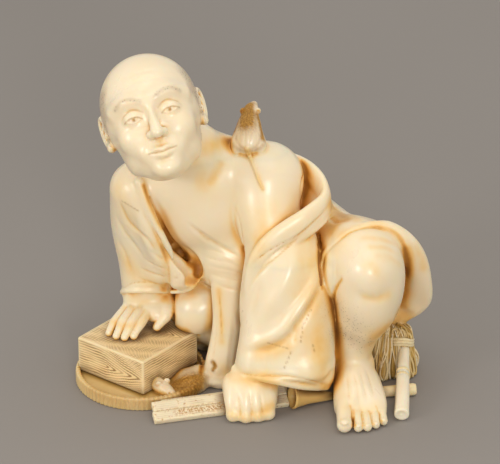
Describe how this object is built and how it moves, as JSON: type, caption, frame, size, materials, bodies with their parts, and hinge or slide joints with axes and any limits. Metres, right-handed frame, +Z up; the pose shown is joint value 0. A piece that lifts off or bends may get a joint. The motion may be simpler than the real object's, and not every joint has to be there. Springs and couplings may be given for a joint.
{
  "type": "okimono",
  "caption": "carved ivory okimono of a crouching bald man with a slipped robe, hand on a wooden measure, a rat on the bare shoulder",
  "frame": {"origin": "the middle of the bounding box, on the surface that the carving stands on", "axes": "+X to the viewer's right, which is the figure's left; -Y to the front; +Z up"},
  "size_m": [0.0902, 0.0622, 0.0908],
  "materials": {
    "ivory": "polished old ivory, amber stain in the recesses"
  },
  "bodies": {
    "root": {"okimono": "ivory"}
  },
  "joints": []
}
